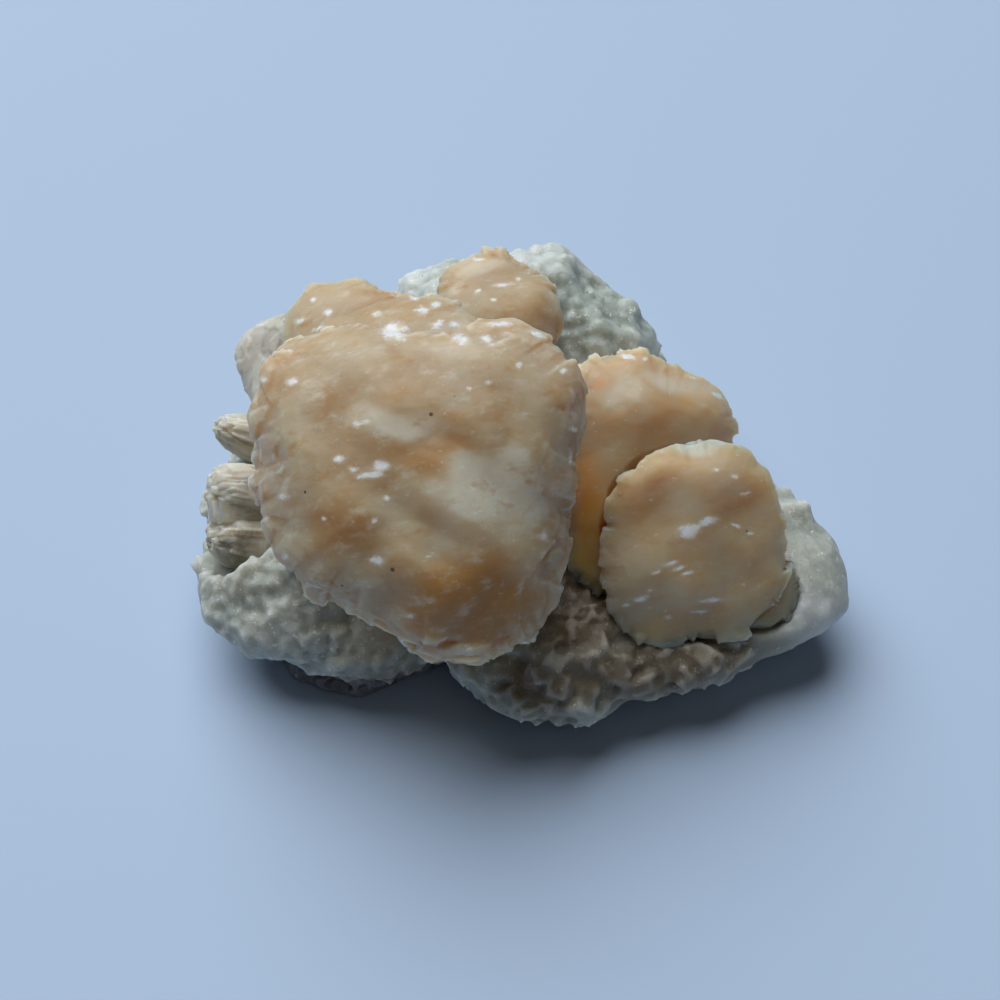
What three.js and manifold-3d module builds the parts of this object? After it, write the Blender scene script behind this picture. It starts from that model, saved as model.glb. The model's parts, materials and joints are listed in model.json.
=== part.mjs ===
// A stilbite cluster: peach sheaves of stilbite on a lumpy white druse crust, which lines a rind of dark basalt.
// Millimetres, +Z up, +X to the right and -Y to the front of the display face. The origin is on the surface
// that the cluster rests on, under the middle of its bounding box.
import * as THREE from "three";
import { ImprovedNoise } from "three/addons/math/ImprovedNoise.js";
import { mergeVertices } from "three/addons/utils/BufferGeometryUtils.js";
import Module from "manifold-3d";

const wasm = await Module();
wasm.setup();
const noise = new ImprovedNoise();

// Driving dimensions
const GAP = 0.3; // clearance where two grown pieces meet
const MIDDLE = new THREE.Vector3(2.472, 4.024, 0); // middle of the footprint in the frame that the places below use
const BASE_Z = 0; // height of the flat underside
const CRUST_LOW_Z = 1.6; // the crust's lowest rim, clear of the surface
const TRIM_TOP_Z = 80; // above everything
const TRIM_WIDTH = 200; // wider than everything

// Sheaves. A sheaf is a fan of thin blades that leave a narrow root and end in a domed cap.
// at: middle of the cap's rim; lean and side: the growth axis, in degrees from vertical towards -Y and +X;
// radii: the rim's outline at equal angles from +X, anticlockwise as the cap is looked at;
// dome: the cap's height above the rim; depth: the rim's height above the root; blades: how many fan out;
// detail: subdivisions of the icosahedron it is formed from.
const SHEAVES = {
  main_sheaf: [
    {
      at: [-9, -8.4, 29.4], lean: 30, side: -3, dome: 11, depth: 15, blades: 30, detail: 7, seed: 3,
      radii: [
        17.2, 18.8, 22.8, 22.2, 20, 19.4, 20.4, 21.8, 22.4, 20.6,
        18.8, 17.4, 16.8, 16.2, 15.8, 18.4, 20, 20, 18.6, 17.6,
      ],
    },
    {
      at: [-14.3, 6.9, 36.4], lean: 12, side: -8, dome: 3.6, depth: 9, blades: 14, detail: 4, seed: 17,
      radii: [11.6, 8.4, 6.6, 7, 9.6, 11.4, 10.8, 10.8, 8.6, 8, 8.4, 10],
    },
    {
      at: [-2.2, -13.4, 26.4], lean: 40, side: 8, dome: 7.8, depth: 9, blades: 18, detail: 4, seed: 29,
      radii: [10.4, 12.2, 12.2, 11, 11.2, 12.6, 13.2, 13.6, 13.6, 13, 11.4, 10.2],
    },
  ],
  back_sheaf: [
    {
      at: [0.2, 18.4, 30], lean: 12, side: 3, dome: 5, depth: 9, blades: 14, detail: 4, seed: 41,
      radii: [7, 6, 5.6, 6.2, 7, 7.8, 8.2, 9.2, 9, 8.6, 8.6, 8],
    },
  ],
  right_front_sheaf: [
    {
      at: [22.3, -8.2, 20], lean: 42, side: 6, dome: 4.2, depth: 8, blades: 18, detail: 5, seed: 67,
      radii: [11.4, 11.8, 12.4, 11.6, 11.4, 11.2, 10.6, 11.6, 13.2, 12, 13, 12.2],
    },
    {
      at: [30.4, -11.6, 14.2], lean: 40, side: 22, dome: 2.4, depth: 5, blades: 9, detail: 2, seed: 73,
      radii: [4.6, 5, 5, 5, 5, 5, 5, 5],
    },
  ],
  right_rear_sheaf: [
    {
      at: [17.2, 4.6, 24.6], lean: 36, side: 12, dome: 4.4, depth: 9.5, blades: 18, detail: 4, seed: 53,
      radii: [10.8, 10.6, 9, 8.2, 8.8, 9.8, 10.8, 9.6, 9.2, 10.6, 15, 20.4, 19.6, 15, 12, 10.8],
    },
  ],
  left_upper_sheaf: [
    {
      at: [-26.8, 15.8, 23], lean: 8, side: -30, dome: 3.4, depth: 10, blades: 12, detail: 3, seed: 71,
      radii: [7.6, 7.8, 6.6, 6, 6.8, 7.2, 6, 5.8, 6.6, 8, 9, 8.2],
    },
  ],
  left_middle_sheaf: [
    {
      at: [-31.4, 8, 18.4], lean: 6, side: -56, dome: 2.6, depth: 9, blades: 10, detail: 3, seed: 83,
      radii: [5.4, 4.4, 4.2, 4.8, 4.8, 4, 4.2, 5.4],
    },
  ],
  left_lower_sheaf: [
    {
      at: [-32.6, 0.6, 17.2], lean: 10, side: -62, dome: 2.8, depth: 10, blades: 12, detail: 3, seed: 97,
      radii: [5.8, 4.8, 4.8, 5.8, 5.4, 4.4, 4.6, 5.6],
    },
    {
      at: [-32.8, -4.4, 14.4], lean: 20, side: -58, dome: 2.4, depth: 8.5, blades: 12, detail: 3, seed: 101,
      radii: [5.6, 4.6, 4.6, 5.4, 5.2, 4.6, 4.8, 5.4],
    },
  ],
};
const WAIST = 0.6; // the root's share of the rim's radius
const GROOVE = 0.056; // depth of the deepest groove between blades, as a share of the radius
const RIDGE = 0.4; // height of a ridge as a share of a groove's depth
const RIM_POWER = 10; // how soon the grooves fade from the rim towards the top of the cap
const SWELL_HEIGHT = 0.8; // height of the swells on a cap
const SWELL_SIZE = 6; // width of the swells on a cap
const NOISE_SCALE = 1.5; // noise seldom passes 2/3 either way, and this brings it to about 1
const CAP_SHARE = 0.58; // the cap's share of the turn from a sheaf's top to the middle of its root
const FLANK_SHARE = 0.32; // the flank's share of the same turn

// Lumps of the crust: the middle and the half lengths along X, Y and Z
const LUMPS = [
  { at: [0, 4, 11], half: [29, 18, 8.5] },
  { at: [-25.6, -7.6, 9.8], half: [10.8, 10.6, 7] },
  { at: [-17, -12.6, 7.6], half: [10.5, 7, 5] },
  { at: [6, -15.4, 8.4], half: [12.8, 10.2, 6.6] },
  { at: [20.4, -12.6, 8.2], half: [12, 9, 6] },
  { at: [32.8, -7, 9.4], half: [10, 9.8, 6.4] },
  { at: [27, 0, 10], half: [9.5, 7, 6.6] },
  { at: [4.6, 25, 19.8], half: [10.2, 9.6, 9.8] },
  { at: [13, 20.6, 17.6], half: [7.2, 8, 8.4] },
  { at: [-5.4, 24.2, 20], half: [8.6, 8, 8.6] },
  { at: [-19, 13, 11], half: [12, 11, 8] },
  { at: [-9, 12, 15.5], half: [15, 11, 10] },
  { at: [8, 12, 13], half: [13, 12, 9] },
  { at: [-27, 3, 9.6], half: [9, 9.5, 6.6] },
];
const CRUST_CENTRE = new THREE.Vector3(0, 4, 11); // inside the first lump; the crust is seen whole from here
const CRUST_REACH = [40, 30, 15]; // rough half lengths of the whole crust, which spread its vertices evenly
const CRUST_DETAIL = 9; // subdivisions of the crust's icosahedron
const ROUGH_HEIGHT = 1.1; // how far the crust's surface wanders in and out
const ROUGH_SIZE = 3.4; // width of what stands out on it
const FINE_SHARE = 0.7; // height of the finer roughness on top, as a share
const FINE_TIMES = 2.3; // how many times finer it is
const KNOBS = 22; // blocky crystals that stand proud of the crust
const KNOB_SIZE = [2.4, 4]; // shortest and longest edge of one
const KNOB_SHAPE = [1.25, 1, 0.9]; // its length, width and height in turn
const KNOB_BAND = [-0.25, 0.65]; // how low and how high they sit, as slopes seen from the crust's centre
const KNOB_SUNK = 1.1; // how far below the crust's surface a knob's middle lies

// The basalt rind under the crust: its middle, how high it rises above that and how deep it would reach below
// before the flat cut, the depth and number of the chips in its break, and the outline at equal angles from +X
const RIND = {
  at: [-9.5, -0.5, 1.4], high: 5.4, deep: 3, roughness: 1.1, chips: 2.3,
  radii: [25, 24, 20, 18, 18.4, 21, 23, 24, 24, 23.6, 23, 20.6, 16, 14, 16, 22],
};

// Closed periodic interpolation of values at equal angles, as a Catmull-Rom curve.
function periodic(values, angle) {
  const n = values.length;
  const place = (((angle / (2 * Math.PI)) % 1) + 1) * n;
  const i = Math.floor(place);
  const t = place - i;
  const [a, b, c, d] = [-1, 0, 1, 2].map((k) => values[(i + k + n) % n]);
  return b + 0.5 * t * (c - a + t * (2 * a - 5 * b + 4 * c - d + t * (3 * (b - c) + d - a)));
}

// A repeatable stream of numbers from 0 to 1.
function stream(seed) {
  let state = seed * 2654435761 + 12345;
  return () => {
    state = (Math.imul(state ^ (state >>> 15), 2246822519) + 3266489917) >>> 0;
    return state / 4294967296;
  };
}

function solidOf(geometry) {
  const bare = geometry.clone();
  bare.deleteAttribute("normal");
  bare.deleteAttribute("uv");
  const merged = mergeVertices(bare, 1e-4);
  return new wasm.Manifold(
    new wasm.Mesh({
      numProp: 3,
      vertProperties: new Float32Array(merged.attributes.position.array),
      triVerts: new Uint32Array(merged.index.array),
    }),
  );
}

function geometryOf(solid) {
  const mesh = solid.getMesh();
  const geometry = new THREE.BufferGeometry();
  geometry.setAttribute("position", new THREE.BufferAttribute(mesh.vertProperties.slice(), 3));
  geometry.setIndex(new THREE.BufferAttribute(mesh.triVerts.slice(), 1));
  const faceted = geometry.toNonIndexed();
  faceted.computeVertexNormals();
  return faceted;
}

// The growth axis and the two directions across it.
function growthFrame(lean, side) {
  const a = THREE.MathUtils.degToRad(lean);
  const b = THREE.MathUtils.degToRad(side);
  const up = new THREE.Vector3(Math.sin(b), -Math.sin(a) * Math.cos(b), Math.cos(a) * Math.cos(b)).normalize();
  const across = new THREE.Vector3(1, 0, 0).addScaledVector(up, -up.x).normalize();
  const back = new THREE.Vector3().crossVectors(up, across);
  return new THREE.Matrix4().makeBasis(across, back, up);
}

// A sheaf's half section, from the top of its cap (0) through the rim to the middle of its root (1): the
// share of the rim's radius, and the height over the rim.
function sectionAt(turn, { dome, depth }) {
  if (turn < CAP_SHARE) {
    const rest = (turn / CAP_SHARE) * (Math.PI / 2);
    return [Math.sin(rest) ** 0.85, dome * Math.cos(rest) ** 0.9];
  }
  const fall = (turn - CAP_SHARE) / FLANK_SHARE;
  if (fall < 1) return [WAIST + (1 - WAIST) * (1 - fall) ** 1.5, -depth * fall];
  return [(WAIST * (1 - turn)) / (1 - CAP_SHARE - FLANK_SHARE), -depth];
}

// A closed form about a sheaf's growth axis, put where the sheaf grows. The shape turns each place's angle round
// the axis, share of the radius and height into its distance from the axis and its height.
function grownSolid(sheaf, shape) {
  const geometry = new THREE.IcosahedronGeometry(1, sheaf.detail);
  const place = geometry.attributes.position;
  for (let i = 0; i < place.count; i++) {
    const [x, y, z] = [place.getX(i), place.getY(i), place.getZ(i)];
    const angle = Math.hypot(x, y) < 0.01 ? 0 : Math.atan2(y, x);
    const [share, height] = sectionAt(Math.acos(THREE.MathUtils.clamp(z, -1, 1)) / Math.PI, sheaf);
    const [reach, rise] = shape(angle, share, height);
    place.setXYZ(i, reach * Math.cos(angle), reach * Math.sin(angle), rise);
  }
  geometry.applyMatrix4(growthFrame(sheaf.lean, sheaf.side));
  geometry.translate(...sheaf.at);
  return solidOf(geometry);
}

// One sheaf: grooves between its blades on the flank and rim, and low swells on its cap.
function sheafSolid(sheaf) {
  const random = stream(sheaf.seed);
  const edges = Array.from({ length: sheaf.blades * 2 }, (_, i) => (i % 2 ? -1 : RIDGE) * random());
  return grownSolid(sheaf, (angle, share, height) => {
    const onCap = height > 0;
    const groove = GROOVE * periodic(edges, angle) * (onCap ? share ** RIM_POWER : 1);
    const reach = share * periodic(sheaf.radii, angle) * (1 + groove);
    const x = (reach * Math.cos(angle)) / SWELL_SIZE + sheaf.seed;
    const y = (reach * Math.sin(angle)) / SWELL_SIZE;
    const swell = onCap ? SWELL_HEIGHT * NOISE_SCALE * noise.noise(x, y, sheaf.seed / 3) : 0;
    return [reach, height + swell];
  });
}

// The room a neighbour leaves for a sheaf: its smooth outer form, further out by the gap.
function socketSolid(sheaf) {
  return grownSolid(sheaf, (angle, share, height) => {
    const onRoot = share < WAIST + 0.01;
    const reach = share * periodic(sheaf.radii, angle) * (1 + GROOVE / 2) + (share > 0.01 ? GAP : 0);
    return [reach, height > 0 ? height + SWELL_HEIGHT + GAP : height - (onRoot ? GAP : 0)];
  });
}

function joined(solids) {
  return solids.reduce((whole, next) => whole.add(next));
}

function largestBody(solid) {
  return solid.decompose().reduce((a, b) => (b.volume() > a.volume() ? b : a));
}

// How far the crust reaches from its centre in one direction: to the far side of the outermost lump.
function crustReach(direction) {
  let far = 0;
  for (const { at, half } of LUMPS) {
    const from = CRUST_CENTRE.clone().sub(new THREE.Vector3(...at)).divide(new THREE.Vector3(...half));
    const step = direction.clone().divide(new THREE.Vector3(...half));
    const [a, b, c] = [step.dot(step), from.dot(step), from.dot(from) - 1];
    if (b * b > a * c) far = Math.max(far, (-b + Math.sqrt(b * b - a * c)) / a);
  }
  return far;
}

// The crust before anything grows on it: the joined outer form of its lumps, rough all over.
function crustSolid() {
  const geometry = new THREE.IcosahedronGeometry(1, CRUST_DETAIL);
  const place = geometry.attributes.position;
  const p = new THREE.Vector3();
  for (let i = 0; i < place.count; i++) {
    p.fromBufferAttribute(place, i).multiply(new THREE.Vector3(...CRUST_REACH)).normalize();
    const smooth = p.clone().multiplyScalar(crustReach(p)).add(CRUST_CENTRE).divideScalar(ROUGH_SIZE);
    const coarse = noise.noise(smooth.x, smooth.y, smooth.z);
    smooth.multiplyScalar(FINE_TIMES);
    const fine = noise.noise(smooth.x, smooth.y, smooth.z);
    p.multiplyScalar(crustReach(p) + ROUGH_HEIGHT * (coarse + FINE_SHARE * fine)).add(CRUST_CENTRE);
    place.setXYZ(i, p.x, p.y, p.z);
  }
  return solidOf(geometry);
}

// Blocky crystals, scattered over the crust and half sunk in it.
function knobSolids() {
  const random = stream(5);
  return Array.from({ length: KNOBS }, () => {
    const size = THREE.MathUtils.lerp(...KNOB_SIZE, random());
    const geometry = new THREE.BoxGeometry(...KNOB_SHAPE.map((share) => share * size));
    geometry.rotateX(random() * Math.PI);
    geometry.rotateY(random() * Math.PI);
    const turn = random() * 2 * Math.PI;
    const slope = THREE.MathUtils.lerp(...KNOB_BAND, random());
    const way = new THREE.Vector3(Math.cos(turn), Math.sin(turn), slope);
    way.multiply(new THREE.Vector3(...CRUST_REACH)).normalize();
    const at = CRUST_CENTRE.clone().addScaledVector(way, crustReach(way) - KNOB_SUNK);
    geometry.translate(at.x, at.y, at.z);
    return solidOf(geometry);
  });
}

// A slab that holds all above or below a height, for trimming.
function slab(lowZ, highZ) {
  const geometry = new THREE.BoxGeometry(TRIM_WIDTH, TRIM_WIDTH, highZ - lowZ);
  geometry.translate(0, 0, (lowZ + highZ) / 2);
  return solidOf(geometry);
}

// The rind: a low, angular plate of basalt with broken sides and a flat underside. Its section holds shares of
// the outline's radius and of the plate's height or depth.
function rindSolid(grow = 0) {
  const rings = [[0, -1], [0.8, -1], [0.95, -0.3], [1, 0.15], [0.86, 0.62], [0.5, 0.92], [0, 1]];
  const section = rings.map(([share, height]) => new THREE.Vector2(share, height));
  const geometry = new THREE.LatheGeometry(section, RIND.radii.length);
  const place = geometry.attributes.position;
  for (let i = 0; i < place.count; i++) {
    const share = Math.hypot(place.getX(i), place.getZ(i));
    const onAxis = share < 0.01;
    const angle = onAxis ? 0 : Math.atan2(-place.getZ(i), place.getX(i));
    const height = place.getY(i);
    const [x, y] = [Math.cos(angle) * RIND.chips, Math.sin(angle) * RIND.chips];
    const wander = RIND.roughness * noise.noise(x, y, height * RIND.chips);
    const reach = onAxis ? 0 : (periodic(RIND.radii, angle) + 2 * wander) * share + grow;
    const rise = height > 0 ? height * (RIND.high + grow) + wander : height * RIND.deep;
    place.setXYZ(i, reach * Math.cos(angle), rise, -reach * Math.sin(angle));
  }
  geometry.rotateX(Math.PI / 2);
  geometry.translate(...RIND.at);
  return solidOf(geometry).intersect(slab(BASE_Z, TRIM_TOP_Z));
}

// Each sheaf gives way to the ones before it in SHEAVES, the crust to all of them, and the rind to none.
function build() {
  const solids = {};
  const sockets = [];
  for (const [name, lobes] of Object.entries(SHEAVES)) {
    const whole = joined(lobes.map(sheafSolid));
    solids[name] = largestBody(sockets.reduce((left, socket) => left.subtract(socket), whole));
    sockets.push(joined(lobes.map(socketSolid)));
  }
  const crust = joined([crustSolid(), ...knobSolids()]).intersect(slab(CRUST_LOW_Z, TRIM_TOP_Z));
  solids.druse_crust = largestBody(crust.subtract(joined([...sockets, rindSolid(GAP)])));
  solids.basalt_rind = rindSolid();
  return solids;
}

const STILBITE = { color: 0xd9ac80, roughness: 0.42, metalness: 0 };
const PALE_STILBITE = { color: 0xd8cfb8, roughness: 0.42, metalness: 0 };
const DRUSE = { color: 0xc4ccc4, roughness: 0.5, metalness: 0 };
const BASALT = { color: 0x3a3c42, roughness: 0.9, metalness: 0 };
const FINISHES = {
  left_upper_sheaf: PALE_STILBITE,
  left_middle_sheaf: PALE_STILBITE,
  left_lower_sheaf: PALE_STILBITE,
  druse_crust: DRUSE,
  basalt_rind: BASALT,
};

const cluster = new THREE.Group();
for (const [name, solid] of Object.entries(build())) {
  const material = new THREE.MeshStandardMaterial({ ...(FINISHES[name] ?? STILBITE), flatShading: true });
  const mesh = new THREE.Mesh(geometryOf(solid), material);
  mesh.name = name;
  mesh.position.copy(MIDDLE).negate();
  cluster.add(mesh);
}

export default cluster;
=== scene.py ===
"""A stilbite cluster: peach sheaves and cream fans on a granular white crust over dark basalt.

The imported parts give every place. Each is copied, made fine and smooth, and given the relief of its
mineral. The crust is then covered with its small crystals. Lengths are in metres, and a name that ends
in _mm holds millimetres.
"""

from __future__ import annotations

import json
import logging
import math
import random
from dataclasses import dataclass, replace
from enum import Enum
from typing import Any, Sequence

import bmesh
import bpy
import numpy as np
from mathutils import Euler, Matrix, Vector, noise
from mathutils.bvhtree import BVHTree

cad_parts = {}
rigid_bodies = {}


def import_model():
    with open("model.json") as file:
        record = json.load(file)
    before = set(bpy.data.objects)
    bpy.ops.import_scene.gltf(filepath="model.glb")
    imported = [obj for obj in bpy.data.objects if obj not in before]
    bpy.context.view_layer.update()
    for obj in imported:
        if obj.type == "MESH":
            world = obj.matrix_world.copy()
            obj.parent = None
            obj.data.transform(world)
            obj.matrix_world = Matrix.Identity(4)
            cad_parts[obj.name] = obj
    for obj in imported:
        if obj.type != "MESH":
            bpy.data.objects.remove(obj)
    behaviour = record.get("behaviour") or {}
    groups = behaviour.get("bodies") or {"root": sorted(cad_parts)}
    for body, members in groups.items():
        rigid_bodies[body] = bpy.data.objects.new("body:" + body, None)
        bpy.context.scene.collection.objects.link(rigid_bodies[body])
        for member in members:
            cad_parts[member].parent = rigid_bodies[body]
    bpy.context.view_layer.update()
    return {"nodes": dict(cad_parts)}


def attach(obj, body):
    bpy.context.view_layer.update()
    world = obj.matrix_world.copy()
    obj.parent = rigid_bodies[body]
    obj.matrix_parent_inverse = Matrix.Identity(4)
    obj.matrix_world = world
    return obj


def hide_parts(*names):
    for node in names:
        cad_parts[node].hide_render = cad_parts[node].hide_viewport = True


LOG = logging.getLogger("stilbite_cluster")
MM = 0.001
BLADE_STEPS = (-0.5, -0.3, 0.0, 0.2, 0.2, 0.4)
LEVELS = 256
"""How far a blade may stand out, and how many draws there are of it."""
PART_MIDDLE_MM = (2.472, 4.024, 0.0)
"""Middle of the footprint in the frame that the sheaves' places are given in."""

Colour = tuple[float, float, float]
Place = tuple[float, float, float]
HALF = Vector((0.5, 0.5, 0.5))

FLANK = (0.2, 0.68)
RIM_TOP = (0.92, 0.6)
RIM_FOOT = (-0.4, 0.2)
LIP_TOP = (0.8, 0.5)
LIP_FOOT = (0.0, 0.3)
UNDER_RIM = (0.1, -0.3)
"""Where the parts of a sheaf begin and end, by the cosine between the surface and the growth axis."""


def smooth_step(low: float, high: float, value: np.ndarray) -> np.ndarray:
    """Rise smoothly from 0 at low to 1 at high."""
    share = np.clip((value - low) / (high - low), 0.0, 1.0)
    return share * share * (3.0 - 2.0 * share)


def noise_over(places: np.ndarray, size_mm: float, seed: float = 0.0) -> np.ndarray:
    """Sample smooth noise at many places."""
    scaled = places / (size_mm * MM) + seed
    return np.fromiter((noise.noise(Vector(row)) for row in scaled), float, len(scaled)) * 1.5


class Cells:
    """A pattern of cells over many places: cobbles, plates or the ends of blades."""

    def __init__(self, places: np.ndarray, size_mm: float | Place, seed: float = 0.0) -> None:
        """Find each place's cell.

        Args:
            places: Rows of x, y, z in metres.
            size_mm: How wide one cell is, along each axis if three are given.
            seed: A shift that gives another pattern.
        """
        scaled = places / (np.array(size_mm) * MM) + seed
        self.edge = np.empty(len(places))
        self.level = np.empty(len(places))
        self.tilt = np.empty(len(places))
        for i, row in enumerate(scaled):
            place = Vector(row)
            distances, points = noise.voronoi(place)
            self.edge[i] = distances[1] - distances[0]
            self.level[i] = noise.cell(points[0] * 7.31)
            self.tilt[i] = (place - points[0]).dot(noise.cell_vector(points[0] * 3.17) - HALF)
        self.tilt = np.clip(self.tilt * 2.0, -1.0, 1.0)

    def rounded(self, width: float) -> np.ndarray:
        """Rise from 0 at a cell's edge to 1 inside it."""
        return smooth_step(0.0, width, self.edge)


@dataclass(frozen=True)
class PhotoView:
    """Where the photograph was taken from, and where its pixels lie on the object."""

    elevation: float = 55.0
    distance: float = 0.230
    target: Place = (-0.00247, -0.00402, 0.016)
    focal_pixels: float = 1898.0
    frame_pixels: float = 1000.0
    sensor_mm: float = 36.0

    def axes(self) -> tuple[np.ndarray, np.ndarray, np.ndarray]:
        """Give the directions of sight, right and up."""
        tilt = math.radians(self.elevation)
        sight = np.array([0.0, math.cos(tilt), -math.sin(tilt)])
        up = np.array([0.0, math.sin(tilt), math.cos(tilt)])
        return sight, np.array([1.0, 0.0, 0.0]), up

    def eye(self) -> np.ndarray:
        """Give the camera's place."""
        return np.array(self.target) - self.distance * self.axes()[0]

    def pixels(self, places: np.ndarray) -> np.ndarray:
        """Project places into the photograph's frame.

        Args:
            places: Rows of x, y, z in metres.

        Returns:
            Rows of pixel x and y.
        """
        sight, right, up = self.axes()
        offset = places - self.eye()
        depth = offset @ sight
        middle = self.frame_pixels / 2
        across = middle + self.focal_pixels * (offset @ right) / depth
        down = middle - self.focal_pixels * (offset @ up) / depth
        return np.stack([across, down], axis=1)

    def faces(self, places: np.ndarray, normals: np.ndarray) -> np.ndarray:
        """Tell how squarely each place faces the camera, from -1 to 1.

        Args:
            places: Rows of x, y, z in metres.
            normals: The outward directions there.

        Returns:
            One cosine for each place.
        """
        to_eye = self.eye() - places
        to_eye /= np.linalg.norm(to_eye, axis=1, keepdims=True)
        return np.einsum("ij,ij->i", to_eye, normals)

    def place_camera(self) -> None:
        """Make the scene's camera."""
        data = bpy.data.cameras.new("photo_camera")
        data.sensor_width = self.sensor_mm
        data.lens = self.focal_pixels / self.frame_pixels * self.sensor_mm
        data.clip_start = 0.01
        camera = bpy.data.objects.new("photo_camera", data)
        camera.location = self.eye()
        camera.rotation_euler = (math.radians(90.0 - self.elevation), 0.0, 0.0)
        bpy.context.collection.objects.link(camera)
        bpy.context.scene.camera = camera


@dataclass(frozen=True)
class Patch:
    """An oval on the object, by the pixels that it covers in the photograph."""

    x: float
    y: float
    wide: float
    high: float
    turn: float = 0.0
    strength: float = 1.0

    def share(self, pixels: np.ndarray) -> np.ndarray:
        """Tell how much each place belongs to the patch.

        Args:
            pixels: Rows of pixel x and y.

        Returns:
            The patch's strength at its middle, falling smoothly to 0 at its edge.
        """
        turn = math.radians(self.turn)
        across = pixels[:, 0] - self.x
        down = pixels[:, 1] - self.y
        along = (across * math.cos(turn) - down * math.sin(turn)) / (self.wide / 2)
        aside = (across * math.sin(turn) + down * math.cos(turn)) / (self.high / 2)
        return self.strength * (1.0 - smooth_step(0.1, 1.0, np.hypot(along, aside)))


def ovals(*rows: tuple[float, ...]) -> tuple[Patch, ...]:
    """Make patches."""
    return tuple(Patch(*row) for row in rows)


def patched(patches: Sequence[Patch], pixels: np.ndarray, seen: np.ndarray) -> np.ndarray:
    """Lay patches on the side that the photograph shows.

    Args:
        patches: The patches.
        pixels: Each place's pixel.
        seen: Whether each place faces the camera.

    Returns:
        The strongest patch's share at each place.
    """
    share = np.zeros(len(pixels))
    for patch in patches:
        share = np.maximum(share, patch.share(pixels))
    return share * seen


class Wire:
    """A value that flows between a material's nodes and takes part in sums."""

    def __init__(self, graph: Graph, socket: bpy.types.NodeSocket) -> None:
        """Wrap a node's output."""
        self.graph = graph
        self.socket = socket

    def _sum(self, operation: str, first: Any, second: Any) -> Wire:
        """Add a Math node on two values."""
        return self.graph.wire("ShaderNodeMath", {"operation": operation}, {0: first, 1: second})

    def __add__(self, other: Any) -> Wire:
        """Add."""
        return self._sum("ADD", self, other)

    def __radd__(self, other: Any) -> Wire:
        """Add from the right."""
        return self._sum("ADD", other, self)

    def __sub__(self, other: Any) -> Wire:
        """Subtract."""
        return self._sum("SUBTRACT", self, other)

    def __rsub__(self, other: Any) -> Wire:
        """Subtract from the right."""
        return self._sum("SUBTRACT", other, self)

    def __mul__(self, other: Any) -> Wire:
        """Multiply."""
        return self._sum("MULTIPLY", self, other)

    def __lt__(self, other: Any) -> Wire:
        """Give 1 where this is less than the other."""
        return self._sum("LESS_THAN", self, other)

    def step(self, low: float, high: float) -> Wire:
        """Rise smoothly from 0 to 1.

        Args:
            low: The value at which the rise begins.
            high: The value at which it ends.

        Returns:
            The share's wire.
        """
        settings = {"interpolation_type": "SMOOTHSTEP"}
        inputs = {0: self, 1: low, 2: high, 3: 0.0, 4: 1.0}
        return self.graph.wire("ShaderNodeMapRange", settings, inputs)


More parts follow.
